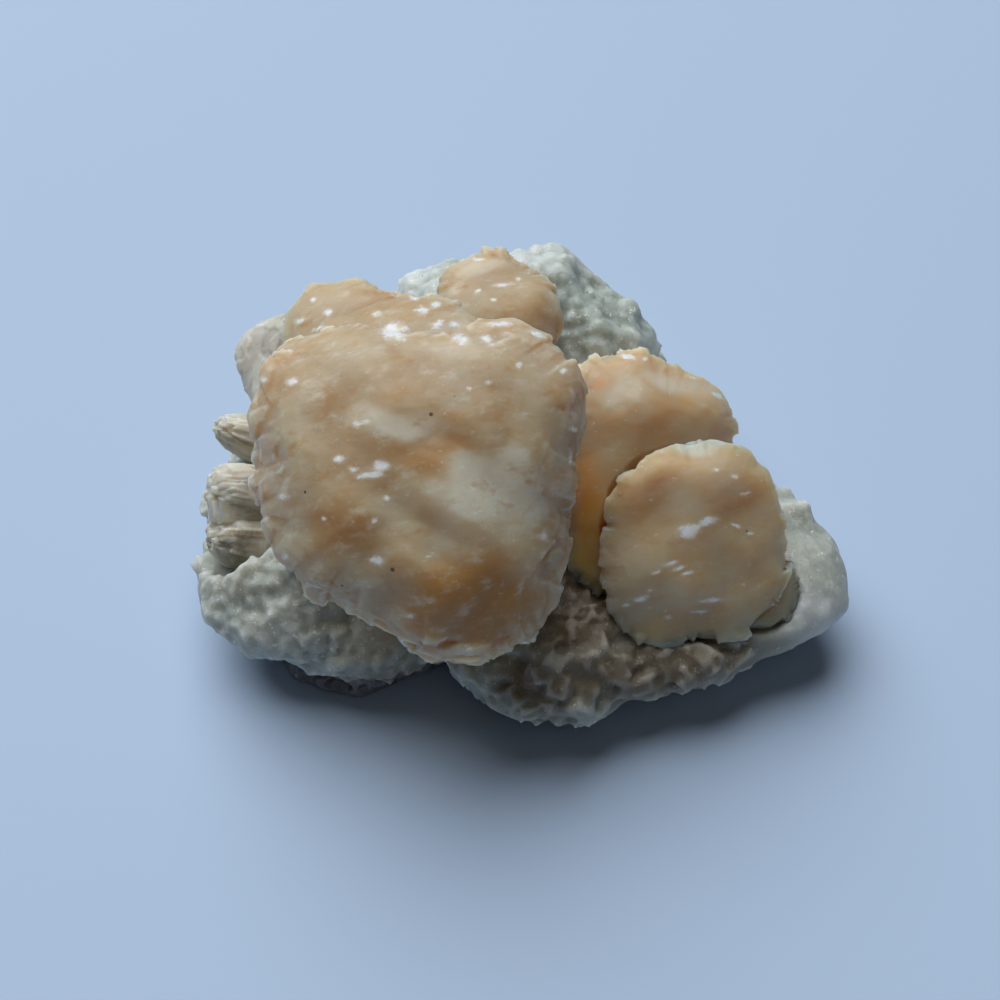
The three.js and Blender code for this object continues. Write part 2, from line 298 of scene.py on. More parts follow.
class Graph:
    """A material in the making: one Principled shader and what feeds it."""

    def __init__(self, name: str) -> None:
        """Start a material.

        Args:
            name: The material's name.
        """
        self.material = bpy.data.materials.new(name)
        self.material.use_nodes = True
        self.tree = self.material.node_tree
        self.shader = next(n for n in self.tree.nodes if n.type == "BSDF_PRINCIPLED")

    def node(self, kind: str, settings: dict[str, Any], inputs: dict[Any, Any]) -> bpy.types.Node:
        """Add a node.

        Args:
            kind: The node's type.
            settings: Its own settings, set first.
            inputs: Values or wires by socket name or index.

        Returns:
            The node.
        """
        node = self.tree.nodes.new(kind)
        for name, value in settings.items():
            setattr(node, name, value)
        for key, value in inputs.items():
            self.feed(node.inputs[key], value)
        return node

    def wire(self, kind: str, settings: dict[str, Any], inputs: dict[Any, Any], output: Any = 0) -> Wire:
        """Add a node and take one of its outputs."""
        return Wire(self, self.node(kind, settings, inputs).outputs[output])

    def feed(self, socket: bpy.types.NodeSocket, value: Any) -> None:
        """Link a wire to a socket, or set the socket's own value.

        Args:
            socket: The input.
            value: A wire, a number or a colour.
        """
        if isinstance(value, Wire):
            self.tree.links.new(value.socket, socket)
        elif socket.type == "RGBA" and len(value) == 3:
            socket.default_value = (*value, 1.0)
        else:
            socket.default_value = value

    def objects(self) -> Wire:
        """Take the piece's own coordinates."""
        return self.wire("ShaderNodeTexCoord", {}, {}, "Object")

    def attribute(self, name: str, output: str = "Fac") -> Wire:
        """Take an attribute of the mesh."""
        return self.wire("ShaderNodeAttribute", {"attribute_name": name}, {}, output)

    def stretched(self, vector: Wire, scale: Place) -> Wire:
        """Stretch a pattern's coordinates."""
        return self.wire("ShaderNodeMapping", {"vector_type": "POINT"}, {"Vector": vector, "Scale": scale})

    def cloud(self, vector: Wire, size_mm: float, detail: float = 2.0, roughness: float = 0.5) -> Wire:
        """Add smooth noise."""
        inputs = {"Vector": vector, "Scale": 1.0 / (size_mm * MM), "Detail": detail, "Roughness": roughness}
        return self.wire("ShaderNodeTexNoise", {}, inputs, "Fac")

    def specks(self, vector: Wire, apart_mm: float, size: float) -> Wire:
        """Scatter small dots.

        Args:
            vector: Coordinates in metres.
            apart_mm: How far apart they are.
            size: A dot's radius as a share of that.

        Returns:
            1 in a dot and 0 elsewhere.
        """
        inputs = {"Vector": vector, "Scale": 1.0 / (apart_mm * MM)}
        node = self.node("ShaderNodeTexVoronoi", {}, inputs)
        chosen = self.wire("ShaderNodeSeparateColor", {}, {0: Wire(self, node.outputs["Color"])})
        return (Wire(self, node.outputs["Distance"]) < chosen * size) * 1.0

    def facets(self, vector: Wire, size_mm: float) -> Wire:
        """Add flat crystal faces, each tilted its own way.

        Args:
            vector: Coordinates in metres.
            size_mm: How wide one face is.

        Returns:
            The height, about -0.5 to 0.5.
        """
        scale = 1.0 / (size_mm * MM)
        node = self.node("ShaderNodeTexVoronoi", {}, {"Vector": vector, "Scale": scale})
        middle, chosen = Wire(self, node.outputs["Position"]), Wire(self, node.outputs["Color"])
        less = {"operation": "SUBTRACT"}
        offset = self.wire("ShaderNodeVectorMath", less, {0: vector, 1: middle})
        tilt = self.wire("ShaderNodeVectorMath", less, {0: chosen, 1: (0.5, 0.5, 0.5)})
        product = {"operation": "DOT_PRODUCT"}
        return self.wire("ShaderNodeVectorMath", product, {0: offset, 1: tilt}, "Value") * scale

    def mixed(self, share: Any, first: Any, second: Any) -> Wire:
        """Mix two colours."""
        inputs = {0: share, 6: first, 7: second}
        return self.wire("ShaderNodeMix", {"data_type": "RGBA"}, inputs, 2)

    def layered(self, body: Wire, *layers: tuple[Any, Colour]) -> Wire:
        """Lay colours over a body colour, one after the other.

        Args:
            body: The body colour.
            layers: Each colour's share, and the colour.

        Returns:
            The mixed colour.
        """
        for share, colour in layers:
            body = self.mixed(share, body, colour)
        return body

    def bump(self, height: Wire, depth_mm: float, strength: float = 1.0) -> Wire:
        """Turn a height into a normal."""
        inputs = {"Height": height, "Distance": depth_mm * MM, "Strength": strength}
        return self.wire("ShaderNodeBump", {}, inputs, "Normal")

    def finish(self, values: dict[str, Any]) -> bpy.types.Material:
        """Feed the shader.

        Args:
            values: Values or wires by the shader's socket names.

        Returns:
            The material.
        """
        for name, value in values.items():
            self.feed(self.shader.inputs[name], value)
        return self.material


@dataclass(frozen=True)
class StilbiteFinish:
    """Translucent stilbite: cloudy inside, faintly ribbed along its blades, with painted glints, painted
    light on some bands, and painted shade and glow low down and in creases.
    """

    name: str
    # Deep orange toward the roots and in creases: partly the stilbite's own tone, partly painted glow of
    # light through the sheaf where gaps lie in shade.
    deep_and_glow: Colour
    # Warmer tone for the random mottling, and for the warm patches, which are partly painted shade and
    # painted glow.
    amber: Colour
    body: Colour
    pale: Colour
    # Milky cream for the mottling and the haze patches, which are partly cloud in the stilbite and partly
    # painted light on upward-facing bands.
    cloudy: Colour
    margin: Colour
    glow_mm: float = 11.0
    glow: Colour = (1.0, 0.6, 0.34)
    ribs: float = 1.0
    run: Place = (0.12, 1.0, 0.5)
    facet: float = 1.6
    mottle: float = 0.55
    facet_run: Place = (0.55, 1.0, 1.0)
    # The white of the painted glints and of the painted highlights on crests.
    painted_glint: Colour = (0.84, 0.86, 0.86)
    speck: Colour = (0.06, 0.04, 0.03)

    def material(self) -> bpy.types.Material:
        """Make the material."""
        graph = Graph(self.name)
        place = graph.objects()
        growth = graph.attribute("growth", "Vector")
        inner = graph.cloud(place, 9.0, 4.0, 0.5)
        wisps = graph.cloud(graph.stretched(growth, (0.75, 1.0, 1.0)), 4.0, 4.0, 0.5)
        motes = graph.cloud(graph.stretched(growth, (0.6, 1.0, 1.0)), 1.9, 4.0, 0.6)
        fine = graph.cloud(place, 0.9, 3.0, 0.6)
        spark = graph.cloud(graph.stretched(growth, (0.5, 1.0, 1.0)), 0.6, 3.0, 0.7)
        across = graph.cloud(graph.stretched(growth, self.run), 0.55, 2.0, 0.6)
        upward = graph.cloud(graph.stretched(growth, (1.0, 1.0, 0.08)), 0.5, 2.0, 0.6)
        cap = graph.attribute("cap")
        ribs = across * cap + upward * (1.0 - cap) * 1.3 - (1.0 - cap) * 0.15
        shift = (wisps - 0.5) * 0.8

        # Warm patches: partly a warmer tone of the stilbite, partly painted shade on the low, front-facing
        # parts and painted glow in the gaps.
        warm_shade_and_glow = (graph.attribute("warm_shade_and_glow") + shift * 0.5).step(0.0, 1.1)
        # Haze patches: partly milky cloud, partly painted light where bands face up toward the light.
        haze_and_light = (graph.attribute("haze_and_light") + shift * 0.5).step(0.05, 1.0)
        crest = graph.attribute("crest")
        # Painted glints: near-white patches where facets catch the light, and small glints scattered by
        # noise.
        painted_glint = graph.attribute("painted_glint")
        painted_glint_share = (painted_glint * 0.8 + spark * 1.6 + (fine - 0.5) * 1.3).step(1.0, 1.8)
        glints = (motes + (spark - 0.5) * 0.5 + (inner - 0.5) * 0.4).step(0.73, 0.85)
        bright = 1.0 - (1.0 - painted_glint_share) * (1.0 - glints * 0.8)
        body = graph.layered(
            graph.mixed((inner + shift * 0.4).step(0.34, 0.68), self.body, self.pale),
            (warm_shade_and_glow, self.amber),
            # Toward the roots: deep tone, partly painted glow.
            ((1.0 - cap) * 0.9, self.deep_and_glow),
            (haze_and_light, self.cloudy),
            (graph.attribute("margin") * (0.6 + (fine - 0.5)), self.margin),
            (((ribs - 0.5) * 0.8 + (fine - 0.5) * 0.8) * self.ribs, self.pale),
            (motes.step(0.52, 0.72) * self.mottle, self.cloudy),
            (motes.step(0.48, 0.28) * self.mottle, self.amber),
            # Painted highlight on the cap's crests, and painted shade and glow in the creases.
            (crest.step(0.1, 1.0) * cap * 0.12, self.painted_glint),
            (crest.step(-0.2, -1.0) * 0.15, self.deep_and_glow),
            (painted_glint * 0.3, self.painted_glint),
            (bright, self.painted_glint),
            (graph.specks(place, 4.6, 0.055) * 0.8, self.speck),
        )
        cells = graph.stretched(growth, self.facet_run)
        facets = graph.facets(cells, 1.7) + graph.facets(cells, 0.8) * 0.6
        relief = ribs * (0.6 * self.ribs) + fine * 0.4 + bright * 0.7 + facets * self.facet
        return graph.finish(
            {
                "Base Color": body,
                "Roughness": 0.52 + (fine - 0.5) * 0.6 - bright * 0.2,
                "Normal": graph.bump(relief, 0.10, 0.22),
                "Specular IOR Level": 0.4,
                "Subsurface Weight": 1.0,
                "Subsurface Radius": self.glow,
                "Subsurface Scale": self.glow_mm * MM,
                "IOR": 1.5,
            }
        )


@dataclass(frozen=True)
class DruseFinish:
    """The crust's small crystals: glassy and greyish white, darker low down and in patches from partly dirt
    and partly painted shade, with painted shade in the hollows and painted light on crests and some
    patches.
    """

    name: str
    clear: Colour
    milky: Colour
    green: Colour
    shade: Colour
    speck: Colour = (0.05, 0.045, 0.04)
    glint: Colour = (0.88, 0.90, 0.90)
    glow_mm: float = 3.6
    gloss: float = 0.5

    def material(self) -> bpy.types.Material:
        """Make the material."""
        graph = Graph(self.name)
        place = graph.objects()
        high = graph.wire("ShaderNodeSeparateXYZ", {}, {0: place}, "Z")
        back = graph.wire("ShaderNodeSeparateXYZ", {}, {0: place}, "Y")
        broad = graph.cloud(place, 9.0, 3.0, 0.55)
        grain = graph.cloud(place, 1.3, 3.0, 0.6)
        fine = graph.cloud(place, 0.35, 2.0, 0.6)
        spark = graph.cloud(place, 0.45, 2.0, 0.7)
        glints = (spark + (grain - 0.5) * 0.9).step(0.66, 0.80)
        # Darker low down: partly dirt, partly painted shade.
        low = 1.0 - (high + (broad - 0.5) * 0.006).step(0.0025, 0.0085)
        stain_and_shade = graph.attribute("stain_and_shade") + low * 0.4
        crest = graph.attribute("crest")
        body = graph.layered(
            graph.mixed((broad * 0.5 + grain * 0.5).step(0.4, 0.62), self.clear, self.milky),
            (back.step(0.004, 0.018) * 0.8, self.green),
            ((stain_and_shade + (grain - 0.5) * 0.5).step(0.0, 1.0), self.shade),
            # Painted light: lighter patches where the crust is lit through or faces the light.
            (graph.attribute("painted_light") * 0.55, self.glint),
            # Painted highlight on crests, and painted shade in the hollows.
            (crest.step(0.0, 1.0) * 0.16, self.glint),
            (crest.step(0.0, -1.0) * 0.14, self.shade),
            (graph.specks(place, 3.0, 0.06) * 0.8, self.speck),
            (glints * (0.85 - stain_and_shade.step(0.0, 1.0) * 0.6), self.glint),
        )
        facets = graph.facets(place, 1.1) + graph.facets(place, 0.6) * 0.6
        return graph.finish(
            {
                "Base Color": body,
                "Roughness": self.gloss + (grain - 0.5) * 0.4 + (fine - 0.5) * 0.2,
                "Normal": graph.bump(facets + fine * 0.5, 0.4, 0.7),
                "Subsurface Weight": 1.0,
                "Subsurface Radius": (1.0, 0.9, 0.75),
                "Subsurface Scale": self.glow_mm * MM,
                "IOR": 1.54,
            }
        )


@dataclass(frozen=True)
class BasaltFinish:
    """Broken basalt: nearly black, with pale crumbs of the crust on it."""

    name: str
    dark: Colour
    grey: Colour
    crumb: Colour

    def material(self) -> bpy.types.Material:
        """Make the material."""
        graph = Graph(self.name)
        place = graph.objects()
        broad = graph.cloud(place, 5.0, 4.0, 0.6)
        fine = graph.cloud(place, 0.7, 3.0, 0.6)
        body = graph.mixed((broad * 0.6 + fine * 0.4).step(0.42, 0.66), self.dark, self.grey)
        body = graph.mixed(graph.specks(place, 1.9, 0.26) * 0.6, body, self.crumb)
        return graph.finish(
            {
                "Base Color": body,
                "Roughness": 0.72 + (fine - 0.5) * 0.5,
                "Normal": graph.bump(fine, 0.25, 0.8),
            }
        )


@dataclass(frozen=True)
class FloorFinish:
    """The plain pale floor."""

    name: str
    colour: Colour

    def material(self) -> bpy.types.Material:
        """Make the material."""
        graph = Graph(self.name)
        return graph.finish({"Base Color": self.colour, "Roughness": 0.6, "IOR": 1.3})


@dataclass(frozen=True)
class Fill:
    """An egg-shaped lump that fills a crease between two lobes."""

    at_mm: Place
    size_mm: Place
    lean: float = 0.0

    def matrix(self) -> Matrix:
        """Give the lump's place, lean toward the viewer and half sizes."""
        place = Vector(self.at_mm) - Vector(PART_MIDDLE_MM)
        turn = Matrix.Rotation(math.radians(self.lean), 4, "X")
        size = Matrix.Diagonal([size * MM for size in self.size_mm]).to_4x4()
        return Matrix.Translation(place * MM) @ turn @ size


class Surface:
    """A fine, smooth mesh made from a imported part, with its places and outward directions at hand."""

    def __init__(
        self,
        source: bpy.types.Object,
        name: str,
        voxel_mm: float,
        rounds: int,
        fills: Sequence[Fill] = (),
    ) -> None:
        """Copy a part and make it fine and smooth.

        Args:
            source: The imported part's object, which is left alone.
            name: The new piece's name.
            voxel_mm: The new mesh's spacing.
            rounds: How many rounds of smoothing take the facets away.
            fills: Lumps that fill the part's creases.
        """
        mesh = source.data.copy()
        mesh.materials.clear()
        bm = bmesh.new()
        bm.from_mesh(mesh)
        bmesh.ops.remove_doubles(bm, verts=bm.verts, dist=1e-6)
        for fill in fills:
            bmesh.ops.create_icosphere(bm, subdivisions=3, radius=1.0, matrix=fill.matrix())
        bm.to_mesh(mesh)
        bm.free()
        self.object = bpy.data.objects.new(name, mesh)
        bpy.context.collection.objects.link(self.object)
        self.even(voxel_mm, rounds)

    def even(self, voxel_mm: float, rounds: int) -> None:
        """Give the surface an even mesh and smooth it.

        Args:
            voxel_mm: The new mesh's spacing.
            rounds: How many rounds of smoothing follow.
        """
        remesh = self.object.modifiers.new("even", "REMESH")
        remesh.mode = "VOXEL"
        remesh.voxel_size = voxel_mm * MM
        remesh.use_smooth_shade = True
        smooth = self.object.modifiers.new("round", "SMOOTH")
        smooth.factor = 0.5
        smooth.iterations = rounds
        self.settle()

    def join(self, meshes: Sequence[bpy.types.Mesh]) -> None:
        """Take closed meshes into the surface's mesh.

        Args:
            meshes: The meshes, which are used up.
        """
        bm = bmesh.new()
        bm.from_mesh(self.object.data)
        for mesh in meshes:
            bm.from_mesh(mesh)
            bpy.data.meshes.remove(mesh)
        bm.to_mesh(self.object.data)
        bm.free()

    def settle(self) -> None:
        """Make the modifiers' result the mesh, and read it."""
        view_layer = bpy.context.evaluated_depsgraph_get()
        mesh = bpy.data.meshes.new_from_object(self.object.evaluated_get(view_layer))
        old = self.object.data
        self.object.modifiers.clear()
        self.object.data = mesh
        bpy.data.meshes.remove(old)
        mesh.name = self.object.name
        for name in [a.name for a in mesh.attributes if a.name.startswith("custom_normal")]:
            mesh.attributes.remove(mesh.attributes[name])
        mesh.shade_smooth()
        self.read()

    def read(self) -> None:
        """Read the places and outward directions again."""
        mesh = self.object.data
        count = len(mesh.vertices)
        flat = np.empty(count * 3, dtype=np.float32)
        mesh.vertices.foreach_get("co", flat)
        self.places = flat.reshape(-1, 3).astype(float)
        mesh.vertex_normals.foreach_get("vector", flat)
        self.normals = flat.reshape(-1, 3).astype(float)

    def push(self, out_mm: np.ndarray) -> None:
        """Move every place along its outward direction."""
        self.shift(self.normals * (out_mm * MM)[:, None])

    def shift(self, steps: np.ndarray) -> None:
        """Move every place.

        Args:
            steps: Rows of x, y, z in metres.
        """
        moved = self.places + steps
        self.object.data.vertices.foreach_set("co", moved.astype(np.float32).ravel())
        self.object.data.update()
        self.read()

    def crest(self, rounds: int = 3) -> np.ndarray:
        """Tell crests from creases.

        Args:
            rounds: How many times the answer is spread to the neighbours.

        Returns:
            About 1 on sharp crests, 0 on even ground and -1 in creases.
        """
        mesh = self.object.data
        ends = np.empty(len(mesh.edges) * 2, dtype=np.int32)
        mesh.edges.foreach_get("vertices", ends)
        first, second = ends[0::2], ends[1::2]
        count = np.maximum(np.bincount(ends, minlength=len(self.places)), 1)
        step = np.linalg.norm(self.places[first] - self.places[second], axis=1).mean()
        middle = np.empty_like(self.places)
        for axis in range(3):
            middle[:, axis] = self._gathered(self.places[:, axis], first, second) / count
        rise = np.einsum("ij,ij->i", self.places - middle, self.normals) / step
        for _ in range(rounds):
            rise = 0.5 * rise + 0.5 * self._gathered(rise, first, second) / count
        return np.clip(rise / (2.0 * rise.std()), -1.0, 1.0)

    @staticmethod
    def _gathered(values: np.ndarray, first: np.ndarray, second: np.ndarray) -> np.ndarray:
        """Add up the neighbours' values at each place.

        Args:
            values: A number for each place.
            first: Every edge's first place.
            second: Every edge's second place.

        Returns:
            The sums.
        """
        size = len(values)
        into_first = np.bincount(first, values[second], minlength=size)
        return into_first + np.bincount(second, values[first], minlength=size)

    def note(self, name: str, values: np.ndarray) -> None:
        """Keep a number or a vector for each place, for the material to read.

        Args:
            name: The attribute's name.
            values: One number or one row of three for each place.
        """
        kind = "FLOAT" if values.ndim == 1 else "FLOAT_VECTOR"
        attribute = self.object.data.attributes.new(name, kind, "POINT")
        field_name = "value" if values.ndim == 1 else "vector"
        attribute.data.foreach_set(field_name, values.astype(np.float32).ravel())

    def wear(self, finish: Any, node: str) -> bpy.types.Object:
        """Dress the piece, and let it stand for its part.

        Args:
            finish: The finish, which makes the material.
            node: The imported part's name.

        Returns:
            The finished piece.
        """
        self.object.data.materials.append(finish.material())
        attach(self.object, "root")
        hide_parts(node)
        return self.object


@dataclass(frozen=True)
class Lobe:
    """A bundle of blades that leave one root."""

    at_mm: Place
    lean: float
    side: float
    blades: int
    reach_mm: float
    grain: float = 20.0
    """The direction in which the blades' edges run over the cap, in degrees from across it."""

    def axes(self) -> np.ndarray:
        """Give the directions across, back and up the growth axis, as rows."""
        lean, side = math.radians(self.lean), math.radians(self.side)
        up = np.array(
            [math.sin(side), -math.sin(lean) * math.cos(side), math.cos(lean) * math.cos(side)]
        )
        across = np.array([1.0, 0.0, 0.0]) - up[0] * up
        across /= np.linalg.norm(across)
        return np.stack([across, np.cross(up, across), up])

    def local(self, places: np.ndarray) -> np.ndarray:
        """Turn places into the bundle's own frame."""
        middle = (np.array(self.at_mm) - np.array(PART_MIDDLE_MM)) * MM
        return (places - middle) @ self.axes().T


@dataclass
class Sheaf:
    """A stilbite sheaf: a domed cap of blade ends, a stepped rim and a ribbed flank."""

    node: str
    name: str
    finish: StilbiteFinish
    lobes: tuple[Lobe, ...]
    seed: int
    slot: str = "stilbite"
    voxel_mm: float = 0.28
    rounds: int = 6
    regrow_mm: float = 0.15
    blade_mm: float = 1.0
    rib_share: float = 0.06
    blade_orders: tuple[tuple[float, float], ...] = ((0.5, 1.0), (1.7, 0.4), (4.3, 0.14))
    lip_mm: float = 0.35
    under_mm: float = 0.6
    plate_mm: float = 0.14
    plate_size_mm: Place = (3.4, 1.9, 2.6)
    tip_mm: float = 0.012
    tip_size_mm: Place = (3.0, 1.4, 3.0)
    swell_mm: float = 0.08
    root_mm: float = -8.0
    cap_mm: float = -2.0
    ring_mm: float = 6.0
    sway: float = 1.6
    painted_glint_wander_px: float = 3.0
    wander_px: float = 16.0
    taper: float = 1.0
    stretch_mm: float = 0.0
    fills: tuple[Fill, ...] = ()
    # Patches of painted glints, by the photograph's pixels.
    painted_glint_patches: tuple[Patch, ...] = ()
    # Haze patches: partly milky cloud, partly painted light on upward-facing bands.
    haze_and_light_patches: tuple[Patch, ...] = ()
    # Warm patches: partly warmer tone, partly painted shade and painted glow.
    warm_shade_and_glow_patches: tuple[Patch, ...] = ()
    margins: tuple[Patch, ...] = ()

    def build(self, parts: dict[str, bpy.types.Object], view: PhotoView) -> bpy.types.Object:
        """Make the sheaf.

        Args:
            parts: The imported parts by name.
            view: The photograph's view, which places the patches.

        Returns:
            The finished piece.
        """
        surface = Surface(parts[self.node], self.name, self.voxel_mm, self.rounds, self.fills)
        local, lobe = self._growth(surface)
        axes = np.stack([bundle.axes() for bundle in self.lobes])[lobe]
        axial = np.einsum("ij,ij->i", surface.normals, axes[:, 2])
        flank = 1.0 - smooth_step(*FLANK, axial)
        rim = smooth_step(*RIM_TOP, axial) * smooth_step(*RIM_FOOT, axial)
        seen = view.faces(surface.places, surface.normals) > 0.0
        margin = patched(self.margins, view.pixels(surface.places), seen)
        blades = self._blades(local, lobe)
        grained = self._grained(local, lobe)
        tips = Cells(grained, self.tip_size_mm, self.seed + 9.0)
        raised = (1.0 - flank) * self.tip_mm * (tips.level * 2.0 - 1.0 + 0.7 * tips.tilt)
        raised += rim * self.blade_mm * 0.6 * blades
        out = flank * self.blade_mm * blades + self._relief(surface, local, rim, margin)
        out += self.lip_mm * smooth_step(*LIP_TOP, axial) * smooth_step(*LIP_FOOT, axial)
        out -= self.under_mm * smooth_step(*UNDER_RIM, axial)
        surface.shift(axes[:, 2] * (raised * MM)[:, None] + surface.normals * (out * MM)[:, None])
        if self.taper < 1.0:
            surface.shift(self._tapered(local, axes))
        cap = smooth_step(self.root_mm * MM, self.cap_mm * MM, local[:, 2])
        self._marked(surface, grained, cap, rim, view)
        return surface.wear(self.finish, self.node)

    def _growth(self, surface: Surface) -> tuple[np.ndarray, np.ndarray]:
        """Find each place's bundle.

        Args:
            surface: The sheaf's surface.

        Returns:
            Each place in its bundle's frame, and the bundle's number.
        """
        every = np.stack([lobe.local(surface.places) for lobe in self.lobes])
        reach = np.array([lobe.reach_mm * MM for lobe in self.lobes])
        nearest = np.argmin(np.linalg.norm(every, axis=2) / reach[:, None], axis=0)
        return every[nearest, np.arange(len(nearest))], nearest

    def _grained(self, local: np.ndarray, lobe: np.ndarray) -> np.ndarray:
        """Turn each bundle's frame so that its first axis runs along the blades' edges.

        Args:
            local: Each place in its bundle's frame.
            lobe: The bundle's number.

        Returns:
            The turned places.
        """
        turn = np.radians([bundle.grain for bundle in self.lobes])[lobe]
        along = local[:, 0] * np.cos(turn) + local[:, 1] * np.sin(turn)
        aside = local[:, 1] * np.cos(turn) - local[:, 0] * np.sin(turn)
        return np.stack([along, aside, local[:, 2]], axis=1)

    def _blades(self, local: np.ndarray, lobe: np.ndarray) -> np.ndarray:
        """Share the flank out between blades that run straight from the root to the rim.

        Args:
            local: Each place in its bundle's frame.
            lobe: The bundle's number.

        Returns:
            How far each place's blade stands out, about -0.7 to 0.7.
        """
        chance = random.Random(self.seed)
        levels = np.array([[chance.choice(BLADE_STEPS) for _ in range(LEVELS)] for _ in self.lobes])
        blades = np.array([bundle.blades for bundle in self.lobes])[lobe]
        turn = np.arctan2(local[:, 1], local[:, 0])
        radius = self.ring_mm * MM
        ring = np.stack([np.cos(turn) * radius, np.sin(turn) * radius, local[:, 2] * 0.12], axis=1)
        sway = noise_over(ring, 2.6, self.seed)
        out = np.zeros(len(local))
        for share, height in self.blade_orders:
            count = np.round(blades * share).astype(int)
            along = (turn / math.tau % 1.0) * count + self.sway * sway * share
            blade = np.floor(along).astype(int) % count
            across = along - np.floor(along)
            bulge = np.sqrt(np.clip(1.0 - (2.0 * across - 1.0) ** 2, 0.0, 1.0)) - 0.7
            out += height * (levels[lobe, (blade * 7 + count) % LEVELS] + self.rib_share * bulge)
        return out

    def _relief(
        self, surface: Surface, local: np.ndarray, rim: np.ndarray, margin: np.ndarray
    ) -> np.ndarray:
        """Work out how far each place stands out, but for the blades.

        Args:
            surface: The sheaf's surface.
            local: Each place in its bundle's frame.
            rim: How much a place is on the rim.
            margin: How much a place is on the scaly margin.

        Returns:
            Millimetres outwards.
        """
        plates = Cells(local, self.plate_size_mm, self.seed)
        patchy = np.clip(0.5 + 1.2 * noise_over(surface.places, 7.0, self.seed + 7.0), 0.0, 1.0)
        out = (rim * patchy + 1.4 * margin) * self.plate_mm * (plates.level * 2.0 - 1.2 + plates.tilt)
        out += self.swell_mm * noise_over(surface.places, 3.6, self.seed + 3.0)
        out += self.swell_mm * 0.25 * noise_over(surface.places, 1.3, self.seed + 5.0)
        return out + self.regrow_mm

    def _tapered(self, local: np.ndarray, axes: np.ndarray) -> np.ndarray:
        """Draw the cap's end in and out along the axis, so that the sheaf is a wedge.

        Args:
            local: Each place in its bundle's frame.
            axes: The bundle's axes at each place.

        Returns:
            How each place moves, in metres.
        """
        end = smooth_step(-5.0 * MM, 3.0 * MM, local[:, 2])
        drawn = (self.taper - 1.0) * end
        inward = axes[:, 0] * (drawn * local[:, 0])[:, None] + axes[:, 1] * (drawn * local[:, 1])[:, None]
        return inward + axes[:, 2] * (self.stretch_mm * MM * end)[:, None]

    def _marked(
        self,
        surface: Surface,
        grained: np.ndarray,
        cap: np.ndarray,
        rim: np.ndarray,
        view: PhotoView,
    ) -> None:
        """Keep what the material reads, and roughen the patches of painted glints.

        Args:
            surface: The sheaf's surface.
            grained: Each place in its bundle's turned frame.
            cap: How much a place is on the cap.
            rim: How much a place is on the rim.
            view: The photograph's view.
        """
        pixels = view.pixels(surface.places)
        seen = view.faces(surface.places, surface.normals) > 0.0
        wander = np.stack([noise_over(surface.places, 5.0, self.seed + n) for n in (11.0, 13.0)], axis=1)
        # Painted glints: white patches at the glints' pixels, whose surface is also roughened.
        painted_glint = patched(self.painted_glint_patches, pixels + self.painted_glint_wander_px * wander, seen)
        pixels += self.wander_px * wander
        surface.push(painted_glint * (0.05 + 0.16 * noise_over(surface.places, 0.6, self.seed)))
        surface.note("growth", grained)
        surface.note("crest", surface.crest())
        surface.note("cap", cap)
        surface.note("painted_glint", painted_glint)
        surface.note("haze_and_light", patched(self.haze_and_light_patches, pixels, seen))
        surface.note("warm_shade_and_glow", patched(self.warm_shade_and_glow_patches, pixels, seen))
        surface.note("margin", np.maximum(patched(self.margins, pixels, seen), 0.4 * rim))


class Grain(Enum):
    """The shapes of the crust's crystals."""

    ROUND = "round"
    SHARD = "shard"
    BLOCK = "block"


@dataclass(frozen=True)
class Zone:
    """A stretch of the crust and the crystals that cover it."""

    name: str
    middle_mm: Place
    grain: Grain
    apart_mm: float
    size_mm: tuple[float, float]
    sunk: float


